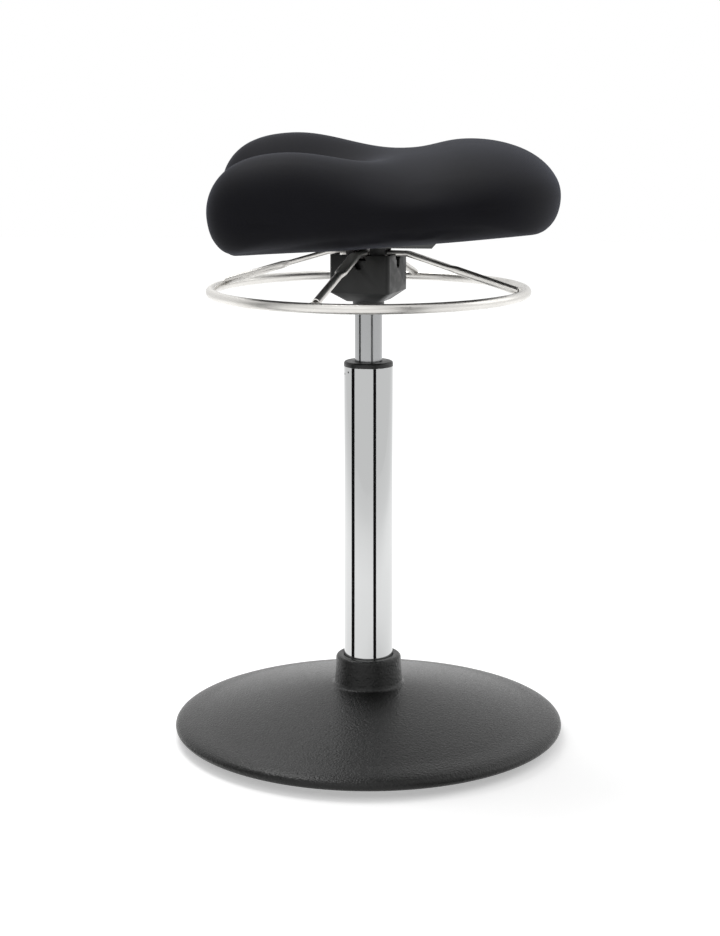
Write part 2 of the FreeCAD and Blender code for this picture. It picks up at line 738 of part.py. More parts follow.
def seat_hardware(kind):
    """The screws or the tee nuts of the seat, or the holes for the screws."""
    pieces = []
    for x, y in seat_screw_places:
        shank = disc(seat_screw_radius, -bracket_sheet, seat_screw_length - bracket_sheet, x, y)
        if kind == "hole":
            pieces.append(disc(seat_screw_radius, -bracket_sheet, board_top, x, y))
        elif kind == "screw":
            head = disc(seat_screw_head_radius, -bracket_sheet - seat_screw_head_height,
                        -bracket_sheet, x, y)
            pieces.append(fused([shank, head]))
        else:
            nut_high = board_top + tee_nut_flange
            barrel = disc(tee_nut_radius, board_top - tee_nut_length, board_top, x, y)
            flange = disc(tee_nut_flange_radius, board_top, nut_high, x, y)
            pieces.append(fused([barrel, flange]).cut(disc(seat_screw_radius, 0, nut_high, x, y)))
    return on_seat(Part.makeCompound(pieces))


def side_share(across, centre, edge, power):
    """How much of the height is left at a place between the crest and the side edge."""
    beyond = max(0.0, (across - centre) / (edge - centre))
    return math.sqrt(max(0.0, 1 - beyond ** power))


def seat_section(across, skin):
    """Side outline of the seat at a distance from its middle, drawn in by the skin."""
    width = seat_half_width - skin
    reach = min(abs(across) / lobe_centre, 1.0)
    lobe_blend = 0.5 - 0.5 * math.cos(math.pi * reach)
    lobe_left = side_share(abs(across), lobe_centre, width, side_power)
    body_left = side_share(abs(across), 0.0, width, side_power)
    crest = channel_height + (lobe_height - channel_height) * lobe_blend - skin
    front_low = side_equator + (front_equator - side_equator) * lobe_left
    rear_low = side_equator + (rear_equator - side_equator) * body_left
    lobe_top = front_low + (crest - front_low) * lobe_left
    saddle_top = rear_low + (saddle_height - skin - rear_low) * body_left
    rear_top = rear_low + (rear_height - skin - rear_low) * body_left
    front = (lobe_place - (seat_front - skin + lobe_place) * lobe_left
             + channel_notch * (1 - lobe_blend))
    rear = rear_place + (seat_rear - skin - rear_place) * body_left
    flat_half = seat_half_width - edge_round
    beyond = max(0.0, (abs(across) - flat_half) / (edge_round - skin))
    under_left = math.sqrt(max(0.0, 1 - beyond ** 2))
    underside = side_equator - (side_equator - skin) * under_left
    front_round = min(toe_round, toe_share * (lobe_place - front))
    rear_round = min(toe_round, toe_share * (rear - rear_place))
    stations = [
        ((rear - rear_round, underside), (-1, 0)), ((front + front_round, underside), (-1, 0)),
        ((front, front_low), (0, 1)), ((lobe_place, lobe_top), (1, 0)),
        ((saddle_place, saddle_top), (1, 0)), ((rear_place, rear_top), (1, 0)),
        ((rear, rear_low), (0, -1))]
    return smooth_wire(stations, lambda p: Vector(across, p[0], p[1]))


def seat_body(skin):
    """The upholstered form: two front lobes, a channel between them and a raised rear."""
    width = seat_half_width - skin
    places = [-s * width for s in reversed(section_shares[1:])]
    places += [s * width for s in section_shares]
    return Part.makeLoft([seat_section(x, skin) for x in places], True, False)


def seat_board(low, high):
    """Block with the outline of the plywood board, between two heights."""
    side = board_half_width
    waist = side - board_waist
    shoulder = side - board_nose - board_front
    stations = [
        ((0.0, board_nose_notch - board_front), (1, 0)), ((board_nose, -board_front), (1, 0)),
        ((side, shoulder), (0, 1)), ((waist, saddle_place), (0, 1)),
        ((0.0, board_rear), (-1, 0)), ((-waist, saddle_place), (0, -1)),
        ((-side, shoulder), (0, -1)), ((-board_nose, -board_front), (1, 0))]
    outline = smooth_wire(stations, lambda p: Vector(p[0], p[1], low))
    return Part.Face(outline).extrude(Vector(0, 0, high - low))


def make_seat():
    """Board, tee nuts, screws, foam and knitted cover."""
    save("seat_screws", seat_hardware("screw"))
    nuts = seat_hardware("nut")
    holes = seat_hardware("hole")
    save("tee_nuts", nuts)
    board = seat_board(board_low, board_top)
    save("seat_board", on_seat(board).cut(holes).cut(nuts))
    core = seat_body(cover_cloth)
    recess = seat_board(-board_thickness, board_top)
    save("seat_foam", on_seat(core.cut(recess)).cut(nuts))
    save("seat_cover", on_seat(seat_body(0).cut(core)).cut(holes))


os.makedirs("parts", exist_ok=True)
make_base()
make_column()
make_bearing()
make_gas_spring()
make_ring()
make_mechanism_cover()
make_seat_socket()
make_bracket()
make_seat()
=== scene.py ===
"""Perch stool: finishes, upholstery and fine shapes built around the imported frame.

The file is laid out as an add-on. One operator makes each group of pieces, and main() registers
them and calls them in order. Lengths are metres in the frame's own axes.
"""
import json
import math
import random

import bmesh
import bpy
from bpy.props import FloatProperty, FloatVectorProperty, IntProperty, PointerProperty
from mathutils import Matrix, Vector

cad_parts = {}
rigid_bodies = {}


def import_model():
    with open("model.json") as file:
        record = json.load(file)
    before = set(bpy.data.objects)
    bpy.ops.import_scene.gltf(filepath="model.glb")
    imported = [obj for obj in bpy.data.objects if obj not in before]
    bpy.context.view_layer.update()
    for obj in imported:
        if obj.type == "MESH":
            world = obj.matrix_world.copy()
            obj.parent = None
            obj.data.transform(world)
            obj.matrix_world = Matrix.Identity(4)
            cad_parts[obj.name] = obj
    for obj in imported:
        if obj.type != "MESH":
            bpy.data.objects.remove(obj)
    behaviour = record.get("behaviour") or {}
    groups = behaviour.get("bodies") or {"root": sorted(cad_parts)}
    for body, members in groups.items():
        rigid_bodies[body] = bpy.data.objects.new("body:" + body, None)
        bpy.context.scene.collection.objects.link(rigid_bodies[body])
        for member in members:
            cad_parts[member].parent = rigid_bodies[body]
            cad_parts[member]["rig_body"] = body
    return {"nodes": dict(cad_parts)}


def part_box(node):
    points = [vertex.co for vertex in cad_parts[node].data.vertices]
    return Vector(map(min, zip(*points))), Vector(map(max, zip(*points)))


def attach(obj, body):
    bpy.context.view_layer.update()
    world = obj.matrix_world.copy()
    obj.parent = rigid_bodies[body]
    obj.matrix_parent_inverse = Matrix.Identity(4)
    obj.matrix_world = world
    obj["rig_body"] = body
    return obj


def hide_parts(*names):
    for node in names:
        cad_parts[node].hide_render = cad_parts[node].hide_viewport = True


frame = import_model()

bl_info = {
    "name": "Perch Stool",
    "version": (1, 0, 0),
    "blender": (4, 5, 0),
    "location": "3D View > Sidebar > Perch Stool",
    "description": "Makes the finishes and soft parts of a perch stool around its packed frame",
    "category": "Object",
}

MM = 0.001
IMAGE_WIDTH = 720
IMAGE_HEIGHT = 936
SENSOR = 36.0
PHOTO_TURN = math.radians(5)
MECHANISM_TURN = -13.5
WELD = 1e-6
NOISE_LOW, NOISE_HIGH = 0.3, 0.7


def linear(hex_colour):
    """The linear colour of an sRGB hex value."""
    parts = [int(hex_colour[k:k + 2], 16) / 255 for k in (1, 3, 5)]
    return [c / 12.92 if c <= 0.04045 else ((c + 0.055) / 1.055) ** 2.4 for c in parts]


def length(name, description, default):
    """A property for a size, in metres."""
    return FloatProperty(name=name, description=description, default=default, unit="LENGTH",
                         precision=5)


def colour(name, description, hex_colour):
    """A property for a colour, given as an sRGB hex value."""
    return FloatVectorProperty(name=name, description=description, subtype="COLOR", size=3,
                               min=0, max=1, default=linear(hex_colour))


class StoolColours(bpy.types.PropertyGroup):
    """Base colours of the finishes."""
    shell: colour("Shell", "Moulded ABS of the base cover", "#0a0a0a")
    shell_worn: colour("Shell, lighter", "Peaks of the shell's grain", "#141514")
    nylon: colour("Nylon", "Moulded nylon of the mechanism cover and bush", "#0c0d0c")
    chrome: colour("Chrome", "Polished chrome of the column", "#bfc0c0")
    satin: colour("Satin chrome", "Ground chrome of the gas cylinder", "#a3a4a5")
    stainless: colour("Stainless", "Drawn stainless steel of the ring and its bars", "#d6d4d0")
    powder: colour("Powder coat", "Grey powder coat of the seat bracket", "#5d5f5f")
    zinc: colour("Zinc", "Zinc plate of screws and hidden steel", "#a7a9a8")
    rubber: colour("Rubber", "Rubber of the sole and seals", "#0d0d0d")
    knit: colour("Knit", "Stretch knit of the seat", "#08080d")
    sheen: colour("Knit sheen", "Light that the knit's hairs catch", "#7d86a0")
    lining: colour("Lining", "Non-woven cloth under the seat", "#111113")
    ply_pale: colour("Plywood, pale", "Face veneer and pale plies", "#c6a577")
    ply_dark: colour("Plywood, dark", "Dark plies and glue lines", "#8d6640")


class StoolSizes(bpy.types.PropertyGroup):
    """Sizes of the new pieces. What the frame gives is read from the frame."""
    seat_front: length("Seat front", "Reach of the front lobes from the column", 154 * MM)
    seat_rear: length("Seat rear", "Reach of the rear from the column", 194 * MM)
    seat_half_width: length("Seat half width", "Half the seat's width", 150 * MM)
    lobe_centre: length("Lobe centre", "Middle of each lobe from the seat's middle", 88 * MM)
    lobe_height: length("Lobe height", "Crest of the lobes above the underside", 97 * MM)
    channel_height: length("Channel height", "Floor of the channel between the lobes", 56 * MM)
    saddle_height: length("Saddle height", "Lowest line behind the lobes", 78 * MM)
    rear_height: length("Rear height", "Crest of the rear", 84 * MM)
    lobe_place: length("Lobe place", "Line of the lobes' crest, to the rear", -80 * MM)
    saddle_place: length("Saddle place", "Line of the saddle, to the rear", 52 * MM)
    rear_place: length("Rear place", "Line of the rear crest, to the rear", 100 * MM)
    front_equator: length("Front equator", "Height of the front's foremost line", 42 * MM)
    rear_equator: length("Rear equator", "Height of the rear's hindmost line", 30 * MM)
    side_equator: length("Side equator", "Height of the sides' widest line", 36 * MM)
    channel_notch: length("Channel notch", "How far the front draws in at the channel", 25 * MM)
    edge_round: length("Edge round", "Width of the drawn-in sides underneath", 80 * MM)
    toe_round: length("Toe round", "Reach of the rounding under the front", 28 * MM)
    heel_round: length("Heel round", "Reach of the rounding under the rear", 18 * MM)
    seat_plane: length("Seat plane", "Height of the seat's underside at the column", 521.1 * MM)
    swell: length("Swell", "Most that the cloth may move as it is inflated", 2 * MM)
    knit_pitch: length("Knit pitch", "Width of one wale of the knit", 1.6 * MM)
    staple_width: length("Staple width", "Crown of one staple", 10 * MM)
    seat_pitch: FloatProperty(name="Seat pitch", description="Fall of the seat to the front",
                              default=math.radians(4.2), unit="ROTATION")
    seat_roll: FloatProperty(name="Seat lean", description="Lean of the seat to its right",
                             default=math.radians(4.5), unit="ROTATION")
    seat_yaw: FloatProperty(name="Seat yaw", description="Turn of the seat on its bracket",
                            default=math.radians(4), unit="ROTATION")
    seat_grid: IntProperty(name="Seat grid", description="Faces along one side of the seat's box",
                           default=34, min=8, max=60)
    staples: IntProperty(name="Staples", description="Staples round the lining", default=38,
                         min=8, max=80)


def colours():
    """The colours as they are set in the scene."""
    return bpy.context.scene.stool_colours


def sizes():
    """The sizes as they are set in the scene."""
    return bpy.context.scene.stool_sizes


def rgba(value):
    """A colour property with full alpha, for a shader's socket."""
    return (*value, 1.0)


def add(tree, kind, inputs=None, **settings):
    """One node with its settings, and each input as a value or another node's output."""
    made = tree.nodes.new("ShaderNode" + kind)
    for name, value in settings.items():
        setattr(made, name, value)
    for name, value in (inputs or {}).items():
        if isinstance(value, bpy.types.NodeSocket):
            tree.links.new(value, made.inputs[name])
        else:
            made.inputs[name].default_value = value
    return made


def blank_material(name):
    """A new material without any node."""
    material = bpy.data.materials.new(name)
    material.use_nodes = True
    material.node_tree.nodes.clear()
    return material, material.node_tree


def start_material(name):
    """A new material with a Principled shader on its output."""
    material, tree = blank_material(name)
    shader = add(tree, "BsdfPrincipled")
    add(tree, "OutputMaterial", {"Surface": shader.outputs[0]})
    return material, tree, shader


def grain(tree, size, detail=3.0, stretch=(1, 1, 1)):
    """Noise on the object's own coordinates whose blotches are about the given size."""
    place = add(tree, "TexCoord").outputs["Object"]
    turned = add(tree, "Mapping", {"Vector": place, "Scale": stretch})
    return add(tree, "TexNoise", {"Vector": turned.outputs[0], "Scale": 1 / size,
                                  "Detail": detail}).outputs["Fac"]


def mottle(tree, size, detail):
    """Blotches of about the given size, from 0 to 1: most noise lies between the two levels."""
    return add(tree, "MapRange", {"Value": grain(tree, size, detail), "From Min": NOISE_LOW,
                                  "From Max": NOISE_HIGH}).outputs[0]


def dress(tree, shader, tint=None, rough=None, relief=None):
    """Give a shader its colour, roughness and relief, each from a pattern.

    tint holds a pattern and the colours at its 0 and 1. rough holds a pattern and the roughness
    at the noise's low and high level. relief holds a pattern, its depth and its strength.
    """
    if tint:
        pattern, first, second = tint
        ramp = add(tree, "ValToRGB", {"Fac": pattern})
        ramp.color_ramp.elements[0].color = rgba(first)
        ramp.color_ramp.elements[1].color = rgba(second)
        tree.links.new(ramp.outputs["Color"], shader.inputs["Base Color"])
    if rough:
        pattern, low, high = rough
        level = add(tree, "MapRange", {"Value": pattern, "From Min": NOISE_LOW,
                                       "From Max": NOISE_HIGH, "To Min": low, "To Max": high})
        tree.links.new(level.outputs[0], shader.inputs["Roughness"])
    if relief:
        pattern, depth, strength = relief
        bump = add(tree, "Bump", {"Height": pattern, "Distance": depth, "Strength": strength})
        tree.links.new(bump.outputs[0], shader.inputs["Normal"])


def textured_abs():
    """ABS moulded against a spark-eroded steel face: a leathery grain that breaks highlights up."""
    material, tree, shader = start_material("textured_abs")
    # The real grain is about 1.5 mm across and is drawn a little coarser, so that it shows.
    cells = add(tree, "TexVoronoi", {"Vector": add(tree, "TexCoord").outputs["Object"],
                                     "Scale": 1 / (2.2 * MM), "Randomness": 1.0},
                feature="SMOOTH_F1").outputs["Distance"]
    fine = grain(tree, 1.5 * MM, 3)
    both = add(tree, "Math", {0: cells, 1: fine}, operation="ADD").outputs[0]
    dress(tree, shader, (mottle(tree, 5 * MM, 5), colours().shell, colours().shell_worn),
          (fine, 0.26, 0.38), (both, 0.45 * MM, 0.85))
    # The pits of the grain swallow part of the gloss of bare ABS.
    shader.inputs["IOR"].default_value = 1.54
    shader.inputs["Specular IOR Level"].default_value = 0.28
    return material


def moulded_nylon(name, rough):
    """Glass-filled nylon straight from the mould: near black, with a soft even gloss."""
    material, tree, shader = start_material(name)
    fine = grain(tree, 0.9 * MM, 3)
    cloud = mottle(tree, 14 * MM, 2)
    dress(tree, shader, (cloud, colours().nylon, colours().shell_worn),
          (cloud, rough, rough + 0.1), (fine, 0.05 * MM, 0.5))
    shader.inputs["IOR"].default_value = 1.53
    shader.inputs["Specular IOR Level"].default_value = 0.36
    return material


def metal(name, tint, rough_low, rough_high, size, stretch, depth):
    """A bare metal whose fine marks run one way: they vary its roughness and its surface."""
    material, tree, shader = start_material(name)
    marks = grain(tree, size, 4, stretch)
    cloud = grain(tree, 30 * MM, 2)
    shader.inputs["Metallic"].default_value = 1.0
    shader.inputs["Base Color"].default_value = rgba(tint)
    both = add(tree, "Math", {0: marks, 1: cloud}, operation="MULTIPLY").outputs[0]
    tree.links.new(add(tree, "MapRange", {"Value": both, "From Min": 0.1, "From Max": 0.4,
                                          "To Min": rough_low, "To Max": rough_high}).outputs[0],
                   shader.inputs["Roughness"])
    dress(tree, shader, relief=(marks, depth, 0.4))
    return material


def polished_chrome():
    """Decorative chrome on a polished tube: a near-perfect mirror, slightly cool."""
    return metal("polished_chrome", colours().chrome, 0.03, 0.06, 40 * MM, (1, 1, 0.3),
                 0.01 * MM)


def satin_chrome():
    """Hard chrome ground round and round: it blurs what it mirrors along the rod."""
    return metal("satin_chrome", colours().satin, 0.12, 0.24, 2 * MM, (1, 1, 12), 0.01 * MM)


def drawn_stainless():
    """Stainless tube, drawn and lightly brushed: bright, with soft streaks."""
    return metal("drawn_stainless", colours().stainless, 0.26, 0.46, 3 * MM, (1, 1, 3),
                 0.02 * MM)


def zinc_plate():
    """Bright zinc with a passivated bloom: greyer and cloudier than chrome."""
    return metal("zinc_plate", colours().zinc, 0.25, 0.45, 6 * MM, (1, 1, 1), 0.02 * MM)


def powder_coat():
    """Grey polyester powder: an even low gloss with a faint orange peel."""
    material, tree, shader = start_material("powder_coat")
    peel = grain(tree, 1.8 * MM, 2)
    darker = [0.86 * c for c in colours().powder]
    dress(tree, shader, (mottle(tree, 25 * MM, 2), darker, colours().powder),
          (peel, 0.38, 0.5), (peel, 0.08 * MM, 0.5))
    return material


def moulded_rubber():
    """Black rubber: matt, with a dusty bloom."""
    material, tree, shader = start_material("moulded_rubber")
    dust = mottle(tree, 9 * MM, 5)
    dress(tree, shader, (dust, colours().rubber, colours().shell_worn), (dust, 0.75, 0.9),
          (grain(tree, 1.2 * MM, 3), 0.1 * MM, 0.5))
    return material


def birch_plywood():
    """Moulded birch plywood: pale rotary-cut faces and thin dark plies on the edge."""
    material, tree, shader = start_material("birch_plywood")
    place = add(tree, "TexCoord").outputs["Object"]
    tilt = (-sizes().seat_pitch, -sizes().seat_roll, 0)
    level = add(tree, "Mapping", {"Vector": place, "Rotation": tilt})
    plies = add(tree, "TexWave", {"Vector": level.outputs[0], "Scale": 1 / (9.5 * MM),
                                  "Distortion": 0.3, "Detail": 1.0}, bands_direction="Z")
    figure = grain(tree, 5 * MM, 4, (0.15, 1, 1))
    mixed = add(tree, "Math", {0: plies.outputs["Fac"], 1: figure}, operation="MULTIPLY")
    dress(tree, shader, (mixed.outputs[0], colours().ply_dark, colours().ply_pale),
          relief=(figure, 0.1 * MM, 0.5))
    shader.inputs["Roughness"].default_value = 0.6
    return material


def stretch_knit():
    """Polyester stretch knit: almost black face on, with a bluish bloom where it turns away."""
    material, tree, shader = start_material("stretch_knit")
    cloth = add(tree, "TexCoord").outputs["UV"]
    # A usual wale is about 0.8 mm wide and is drawn at twice that, so that it shows close up. A
    # wave of scale 1 repeats every pi / 10, and a row is a quarter longer than a wale is wide.
    rate = math.pi / 10 / sizes().knit_pitch
    row_rate = 0.8 * rate
    wales = add(tree, "TexWave", {"Vector": cloth, "Scale": rate, "Distortion": 0.6,
                                  "Detail": 1.0, "Detail Scale": 2.0}, bands_direction="X")
    rows = add(tree, "TexWave", {"Vector": cloth, "Scale": row_rate, "Distortion": 0.6,
                                 "Detail": 1.0, "Detail Scale": 2.0}, bands_direction="Y")
    loops = add(tree, "Math", {0: wales.outputs["Fac"], 1: rows.outputs["Fac"]},
                operation="MULTIPLY").outputs[0]
    lighter = [1.5 * c for c in colours().knit]
    dress(tree, shader, (mottle(tree, 45 * MM, 3), colours().knit, lighter),
          (loops, 0.74, 0.84), (loops, 0.06 * MM, 0.12))
    shader.inputs["Specular IOR Level"].default_value = 0.16
    shader.inputs["Sheen Weight"].default_value = 0.16
    shader.inputs["Sheen Roughness"].default_value = 0.32
    shader.inputs["Sheen Tint"].default_value = rgba(colours().sheen)
    return material


def spunbond_lining():
    """Spunbond cloth under the seat: dull black felt with tiny pressed dots."""
    material, tree, shader = start_material("spunbond_lining")
    dots = add(tree, "TexVoronoi", {"Vector": add(tree, "TexCoord").outputs["Object"],
                                    "Scale": 1 / (2.5 * MM), "Randomness": 0.1})
    fibres = grain(tree, 1.5 * MM, 6)
    dress(tree, shader, (fibres, colours().lining, colours().shell_worn),
          relief=(dots.outputs["Distance"], 0.2 * MM, 0.6))
    shader.inputs["Roughness"].default_value = 0.92
    return material


def plain_plastic(name, tint, rough):
    """A small moulded part: one colour with a faint flow mottle."""
    material, tree, shader = start_material(name)
    cloud = mottle(tree, 6 * MM, 3)
    lighter = [min(1.0, 1.15 * c) for c in tint]
    dress(tree, shader, (cloud, tint, lighter), (cloud, rough, rough + 0.12))
    return material


def arc(centre, radius, start, stop, count):
    """Points of an arc in a profile, by its angles in degrees."""
    turns = [math.radians(start + (stop - start) * k / count) for k in range(count + 1)]
    return [(centre[0] + radius * math.cos(t), centre[1] + radius * math.sin(t))
            for t in turns]


def curve_point(hull, t):
    """A point of the cubic curve with four control points."""
    weights = ((1 - t) ** 3, 3 * t * (1 - t) ** 2, 3 * t ** 2 * (1 - t), t ** 3)
    return tuple(sum(w * point[k] for w, point in zip(weights, hull)) for k in (0, 1))


def as_object(form, name, material, sharp=35):
    """A finished object from a bmesh, shaded smooth up to an angle in degrees."""
    mesh = bpy.data.meshes.new(name)
    form.to_mesh(mesh)
    form.free()
    mesh.materials.append(material)
    mesh.polygons.foreach_set("use_smooth", [True] * len(mesh.polygons))
    mesh.set_sharp_from_angle(angle=math.radians(sharp))
    piece = bpy.data.objects.new(name, mesh)
    bpy.context.scene.collection.objects.link(piece)
    return piece


def lathe(name, outline, material, steps, sharp=35):
    """A closed outline of (radius, height) points, turned about Z."""
    form = bmesh.new()
    points = [form.verts.new((r, 0, z)) for r, z in outline]
    edges = [form.edges.new(pair) for pair in zip(points, points[1:] + points[:1])]
    bmesh.ops.spin(form, geom=points + edges, cent=(0, 0, 0), axis=(0, 0, 1),
                   angle=2 * math.pi, steps=steps, use_merge=True)
    bmesh.ops.remove_doubles(form, verts=form.verts, dist=WELD)
    bmesh.ops.recalc_face_normals(form, faces=form.faces)
    return as_object(form, name, material, sharp)


def refined(node, material, width, angle=30):
    """A merged copy of a CAD node whose sharp edges are eased, in place of that node."""
    form = bmesh.new()
    form.from_mesh(frame["nodes"][node].data)
    bmesh.ops.remove_doubles(form, verts=form.verts, dist=WELD)
    bmesh.ops.dissolve_limit(form, angle_limit=math.radians(1), verts=form.verts,
                             edges=form.edges)
    if width:
        sharp = [e for e in form.edges
                 if len(e.link_faces) == 2 and e.calc_face_angle(0) > math.radians(angle)]
        bmesh.ops.bevel(form, geom=sharp, offset=width, offset_type="OFFSET", segments=2,
                        profile=0.5, affect="EDGES", clamp_overlap=True, material=-1)
    in_place_of(as_object(form, node + "_eased", material, angle), node)


def in_place_of(piece, node):
    """A new piece takes a node's place and body."""
    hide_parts(node)
    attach(piece, frame["nodes"][node]["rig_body"])


def paint(nodes, material):
    """A CAD node that stays gets a better material."""
    for node in nodes:
        mesh = frame["nodes"][node].data
        mesh.materials.clear()
        mesh.materials.append(material)


class STOOL_OT_base(bpy.types.Operator):
    """Make the moulded base cover and finish the parts under it"""
    bl_idname = "stool.base"
    bl_label = "Base"

    def execute(self, context):
        low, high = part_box("base_cover")
        clearance = 0.25 * MM
        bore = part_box("outer_tube")[1].x + clearance
        rim, wall, ease = high.x, 4 * MM, 0.8 * MM
        foot_inset, foot_wall, foot_power, widest = 12 * MM, 6 * MM, 0.9, 13.5 * MM
        shoulder_pull, brow, brow_pull, brow_drop = 7 * MM, rim - 30 * MM, 14 * MM, 3.1 * MM
        dome_start, dome_foot, dome_top, crown = rim - 8.5 * MM, 19.5 * MM, 53 * MM, 1.6 * MM
        collar, collar_foot, fillet, lip = 33.6 * MM, 34.7 * MM, 5 * MM, 3.5 * MM
        dome_end = collar_foot + fillet

        def dome_height(r):
            share = (dome_start - r) / (dome_start - dome_end)
            return (dome_foot + (dome_top - dome_foot) * share
                    + 4 * crown * share * (1 - share))

        lower = [(rim - foot_inset + foot_inset * math.sin(t) ** foot_power,
                  low.z + (widest - low.z) * (1 - math.cos(t)))
                 for t in [math.pi / 2 * k / 10 for k in range(11)]]
        shoulder = [(rim, widest), (rim, widest + shoulder_pull),
                    (brow + brow_pull, dome_height(brow) - brow_drop),
                    (brow, dome_height(brow))]
        upper = [curve_point(shoulder, k / 12) for k in range(1, 13)]
        dome = [(r, dome_height(r)) for r in
                [brow + (dome_end - brow) * k / 24 for k in range(1, 25)]]
        foot_round = [(collar_foot + fillet * (1 - math.sin(t)),
                       dome_top + fillet * (1 - math.cos(t)))
                      for t in [math.pi / 2 * k / 6 for k in range(1, 7)]]
        top_round = arc((collar - lip, high.z - lip), lip, 0, 90, 6)
        mouth = [(bore + ease, high.z), (bore, high.z - ease), (bore, dome_top - wall)]
        inner = [(dome_end, dome_top - wall), (rim - 12.5 * MM, 16.3 * MM),
                 (rim - foot_inset - foot_wall, low.z)]
        outline = lower + upper + dome + foot_round + top_round + mouth + inner
        cover = lathe("base_shell", outline, textured_abs(), 192, 50)
        in_place_of(cover, "base_cover")
        paint(["floor_pad"], moulded_rubber())
        paint(["base_plate", "base_screws", "socket_bolts", "column_socket"], zinc_plate())
        paint(["ballast_disc"], plain_plastic("black_iron", colours().rubber, 0.5))
        return {"FINISHED"}


class STOOL_OT_column(bpy.types.Operator):
    """Make the chromed tube with its tabs and stake marks, and the bush in its mouth"""
    bl_idname = "stool.column"
    bl_label = "Column"

    def execute(self, context):
        low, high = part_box("outer_tube")
        sleeve_low, sleeve_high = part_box("guide_bush")
        radius, wall, ease = high.x, 2 * MM, 0.35 * MM
        flange_height, flange_round, overhang, lead = 5 * MM, 2.2 * MM, 0.1 * MM, 0.8 * MM
        tab_inset, clearance = 0.6 * MM, 0.05 * MM
        top = sleeve_high.z - flange_height
        outline = [(radius - wall, low.z), (radius, low.z)]
        outline += arc((radius - ease, top - ease), ease, 0, 90, 3) + [(radius - wall, top)]
        tube = lathe("chromed_tube", outline, polished_chrome(), 192)
        self.tabs(tube, radius - tab_inset, top)
        in_place_of(tube, "outer_tube")
        self.stake_marks(radius, top)
        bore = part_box("gas_cylinder")[1].x + clearance
        outer = radius + overhang
        outline = [(bore, sleeve_low.z), (radius - wall, sleeve_low.z), (radius - wall, top),
                   (outer, top)]
        outline += arc((outer - flange_round, sleeve_high.z - flange_round), flange_round,
                       0, 90, 6)
        outline += [(bore + lead, sleeve_high.z), (bore, sleeve_high.z - lead)]
        bush = lathe("nylon_bush", outline, moulded_nylon("turned_nylon", 0.34), 128)
        in_place_of(bush, "guide_bush")
        return {"FINISHED"}

    def tabs(self, tube, reach, top):
        """Eight small tabs of the tube's edge, bent in over the bush's flange."""
        count, first, size = 8, -15, (1 * MM, 2.4 * MM, 3 * MM)
        form = bmesh.new()
        form.from_mesh(tube.data)
        for k in range(count):
            box = bmesh.ops.create_cube(form, size=1)["verts"]
            bmesh.ops.scale(form, verts=box, vec=size)
            bmesh.ops.translate(form, verts=box, vec=(reach, 0, top))
            turn = Matrix.Rotation(math.radians(first + 360 / count * k), 3, "Z")
            bmesh.ops.rotate(form, verts=box, matrix=turn, cent=(0, 0, 0))
        form.to_mesh(tube.data)
        form.free()

    def stake_marks(self, radius, top):
        """Two shallow punch marks that pin the tube to its bush."""
        size, flatness = 1.1 * MM, 0.12
        form = bmesh.new()
        for angle, drop in ((-50, 5 * MM), (-69, 7.5 * MM)):
            made = bmesh.ops.create_uvsphere(form, u_segments=20, v_segments=10, radius=size)
            bmesh.ops.scale(form, verts=made["verts"], vec=(flatness, 1, 1))
            bmesh.ops.translate(form, verts=made["verts"], vec=(radius, 0, top - drop))
            turn = Matrix.Rotation(math.radians(angle), 3, "Z")
            bmesh.ops.rotate(form, verts=made["verts"], matrix=turn, cent=(0, 0, 0))
        # The two marks are painted near black, in a plain dark material on the chrome.
        near_black = plain_plastic("near_black_mark_steel", colours().rubber, 0.4)
        marks = as_object(form, "stake_marks", near_black)
        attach(marks, "base")


class STOOL_OT_gas_spring(bpy.types.Operator):
    """Make the smooth gas cylinder and finish what turns and slides inside the column"""
    bl_idname = "stool.gas_spring"
    bl_label = "Gas spring"

    def execute(self, context):
        low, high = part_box("gas_cylinder")
        radius, wall, ease = high.x, 1.6 * MM, 0.8 * MM
        cone_foot, cone_top = 455 * MM, 13.1 * MM
        pin_hole, top_wall = 4.3 * MM, 4 * MM
        outline = [(radius - wall, low.z), (radius, low.z), (radius, cone_foot),
                   (cone_top, high.z - ease), (cone_top - ease, high.z), (pin_hole, high.z),
                   (pin_hole, high.z - top_wall), (cone_top - wall, high.z - top_wall),
                   (radius - wall, cone_foot)]
        cylinder = lathe("satin_cylinder", outline, satin_chrome(), 128)
        in_place_of(cylinder, "gas_cylinder")
        ground = metal("ground_steel", colours().satin, 0.16, 0.3, 2 * MM, (1, 1, 6), 0.01 * MM)
        paint(["piston_rod", "piston", "lower_race", "upper_race", "bearing_balls",
               "rod_washer", "rod_clip", "valve_pin"], ground)
        paint(["rod_seal", "piston_seal", "bump_stop"], bpy.data.materials["moulded_rubber"])
        paint(["ball_cage"], plain_plastic("white_acetal", linear("#d8d2bf"), 0.35))
        paint(["rod_guide", "valve_body", "pressure_button"],
              plain_plastic("black_acetal", colours().nylon, 0.3))
        paint(["piston_nut", "tube_end_plate"], bpy.data.materials["zinc_plate"])
        paint(["seat_socket", "ring_hub"], plain_plastic("black_oxide", colours().nylon, 0.45))
        return {"FINISHED"}


class STOOL_OT_mechanism(bpy.types.Operator):
    """Ease the edges of the mechanism cover"""
    bl_idname = "stool.mechanism"
    bl_label = "Mechanism cover"

    def execute(self, context):
        refined("mechanism_cover", moulded_nylon("moulded_nylon", 0.4), 0.5 * MM)
        return {"FINISHED"}


